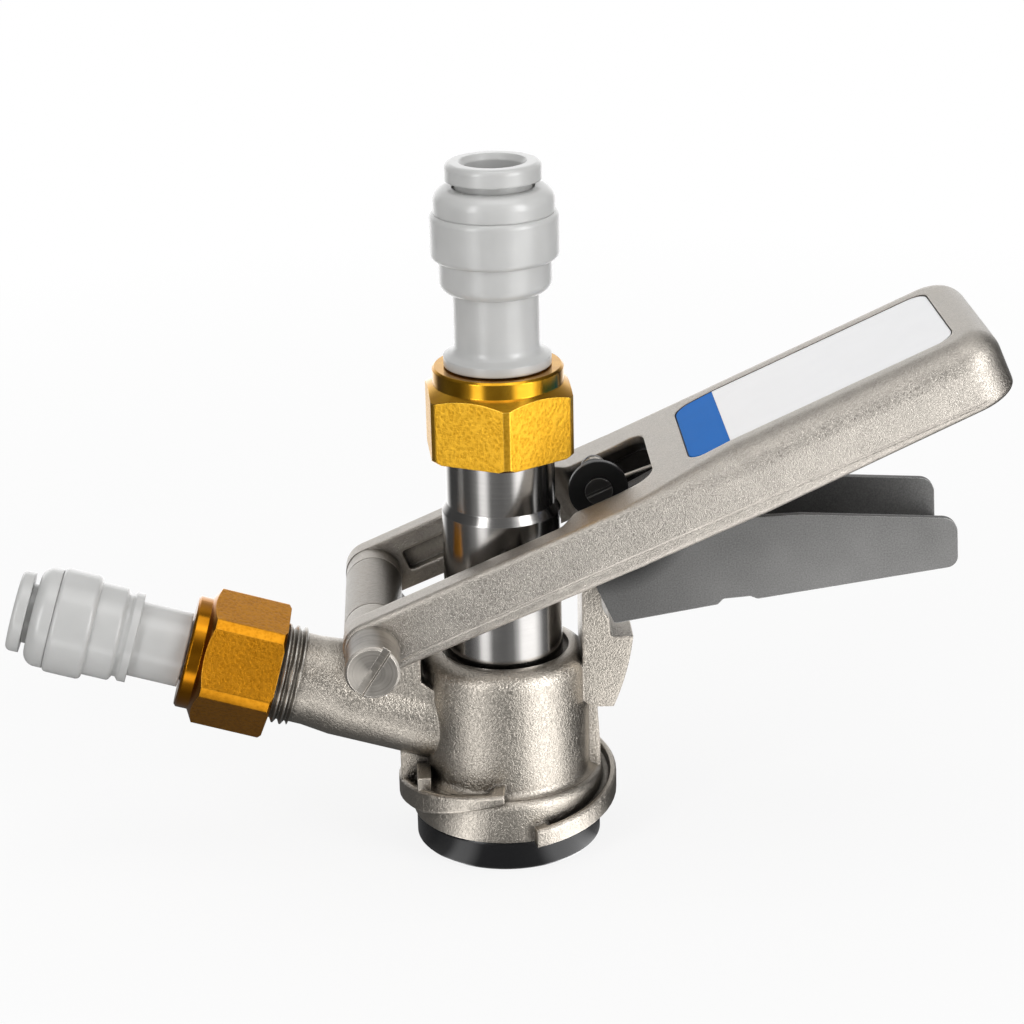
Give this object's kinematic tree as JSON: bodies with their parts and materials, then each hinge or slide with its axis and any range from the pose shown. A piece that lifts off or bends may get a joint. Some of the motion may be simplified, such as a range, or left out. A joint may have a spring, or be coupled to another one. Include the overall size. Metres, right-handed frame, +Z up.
{
  "type": "keg coupler",
  "caption": "Lever-operated keg coupler: bayonet base, sliding beer probe, angled gas arm, push-in tube fittings, forked handle and a squeeze trigger.",
  "frame": {"origin": "centre of the base seal's bottom face, on the probe's axis", "axes": "+Z up along the probe; +X towards the handle's free end; +Y across the handle, away from the picture's camera"},
  "size_m": [0.2209, 0.0623, 0.1578],
  "materials": {
    "cast_steel": "bead blasted",
    "polished_steel": "polished",
    "sheet_steel": "satin",
    "spring_steel": "polished",
    "nut_brass": "stippled",
    "bright_nickel": "polished",
    "grey_acetal": "moulded",
    "white_acetal": "moulded",
    "black_rubber": "moulded",
    "black_acetal": "moulded",
    "label_blue": "printed film",
    "label_white": "printed film"
  },
  "bodies": {
    "casting": {"coupler_body": "cast_steel", "base_seal": "black_rubber", "rod_seal": "black_rubber", "gas_valve_cage": "white_acetal", "gas_valve_seat": "black_rubber", "gas_check_ball": "white_acetal", "gas_washer": "black_rubber", "gas_nut": "nut_brass", "gas_fitting_body": "grey_acetal", "gas_fitting_cap": "grey_acetal", "gas_grab_ring": "spring_steel", "gas_fitting_o_ring": "black_rubber"},
    "probe": {"probe": "polished_steel", "probe_tip_seal": "black_rubber", "trunnion_pin_near": "polished_steel", "trunnion_pin_far": "polished_steel", "trunnion_roller_near": "white_acetal", "trunnion_roller_far": "white_acetal", "ball_cage": "white_acetal", "beer_check_ball": "white_acetal", "beer_washer": "black_rubber", "beer_nut": "nut_brass", "beer_fitting_body": "grey_acetal", "beer_fitting_cap": "grey_acetal", "beer_grab_ring": "spring_steel", "beer_fitting_o_ring": "black_rubber"},
    "handle": {"handle": "cast_steel", "pivot_screw": "polished_steel", "label_blue": "label_blue", "label_white": "label_white", "trigger_pin": "bright_nickel", "trigger_spool": "black_acetal", "trigger_spring": "spring_steel"},
    "trigger": {"trigger": "sheet_steel"},
    "beer_collet": {"beer_collet": "grey_acetal"},
    "gas_collet": {"gas_collet": "grey_acetal"}
  },
  "joints": [
    {"name": "handle_hinge", "type": "hinge", "parent": "casting", "child": "handle", "pos_m": [-0.02926, 0, 0.05683], "axis": [0, 1, 0], "range_deg": [0, 26]},
    {"name": "probe_slide", "type": "slide", "parent": "casting", "child": "probe", "axis": [0, 0, -1], "range_m": [0, 0.01408]},
    {"name": "trigger_hinge", "type": "hinge", "parent": "handle", "child": "trigger", "pos_m": [0.02134, 0, 0.08472], "axis": [0, -1, 0], "range_deg": [0, 10], "stiffness_Nm_per_rad": 0.4, "springref_deg": -17.19, "deforming": ["trigger_spring"]},
    {"name": "beer_collet_slide", "type": "slide", "parent": "probe", "child": "beer_collet", "axis": [0, 0, -1], "range_m": [0, 0.0015], "stiffness_N_per_m": 400, "springref_m": -0.0005},
    {"name": "gas_collet_slide", "type": "slide", "parent": "casting", "child": "gas_collet", "axis": [0.9563, 0, -0.2924], "range_m": [0, 0.0011], "stiffness_N_per_m": 400, "springref_m": -0.0005}
  ],
  "couplings": [
    {"joint": "probe_slide", "follows": "handle_hinge", "m_per_rad": 0.031}
  ]
}
